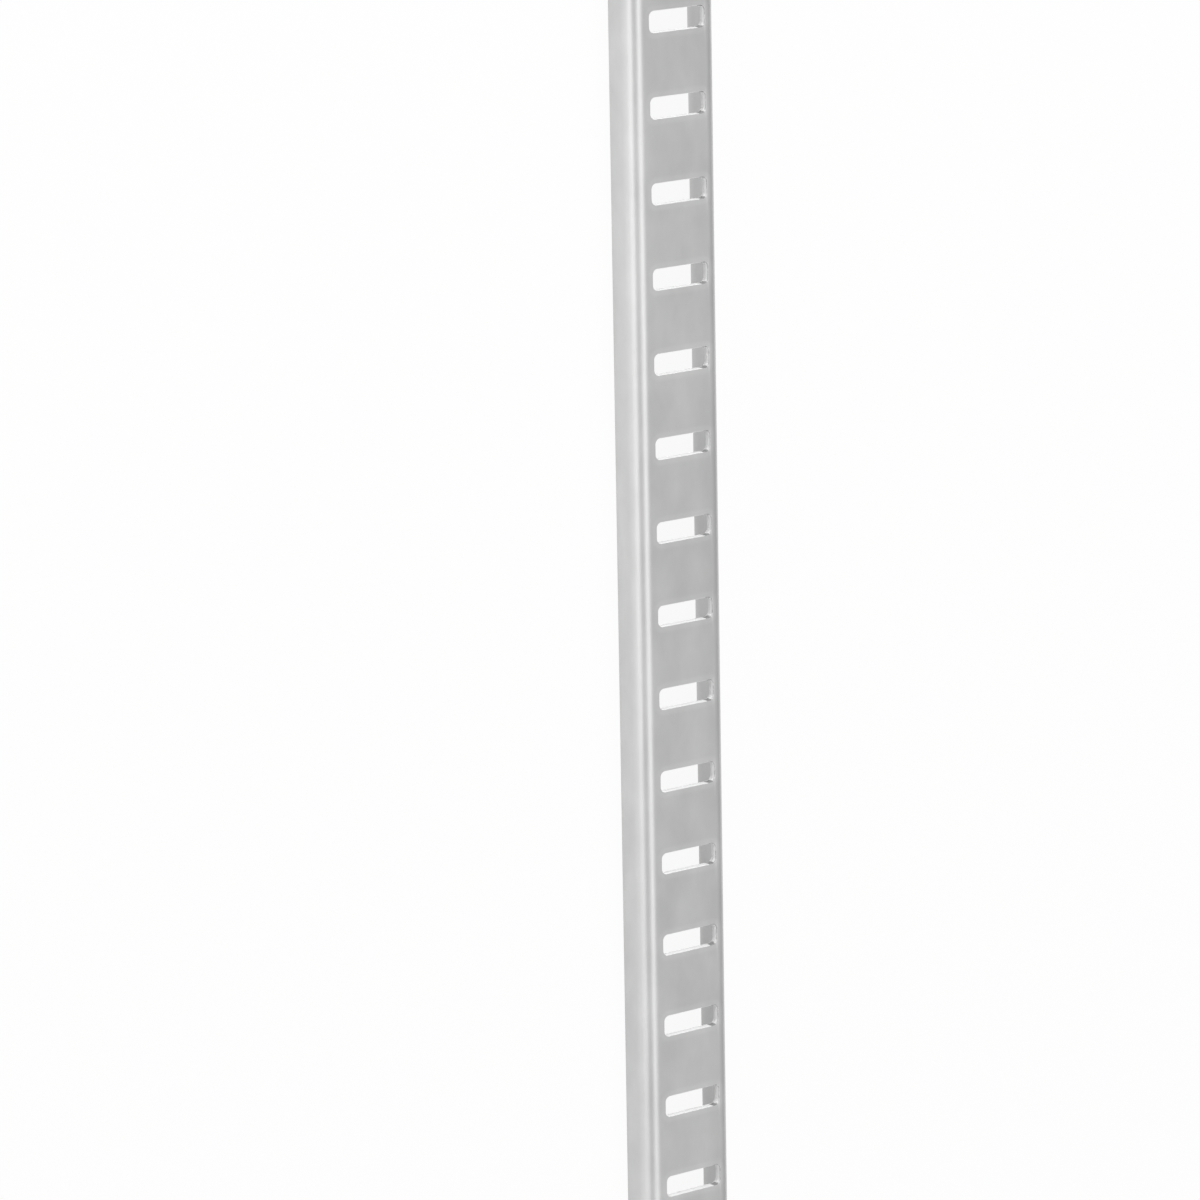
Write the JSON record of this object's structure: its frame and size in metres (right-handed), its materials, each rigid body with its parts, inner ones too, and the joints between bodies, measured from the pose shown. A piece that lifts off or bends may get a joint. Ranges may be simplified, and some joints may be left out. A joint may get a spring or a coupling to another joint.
{
  "type": "shelf pilaster strip",
  "caption": "Straight shelf pilaster strip: a shallow steel channel with rounded bends and a row of evenly spaced crosswise slots for clip-on shelf supports.",
  "frame": {"origin": "on the floor under the middle of the strip, centre of the bounding box's bottom", "axes": "+Z out of the slotted face, Y along the length, X across the face"},
  "size_m": [0.0158, 0.6096, 0.0057],
  "materials": {
    "steel": "satin, smooth cold-formed sheet with sheared cut edges"
  },
  "bodies": {
    "root": {"pilaster_strip": "steel"}
  },
  "joints": []
}
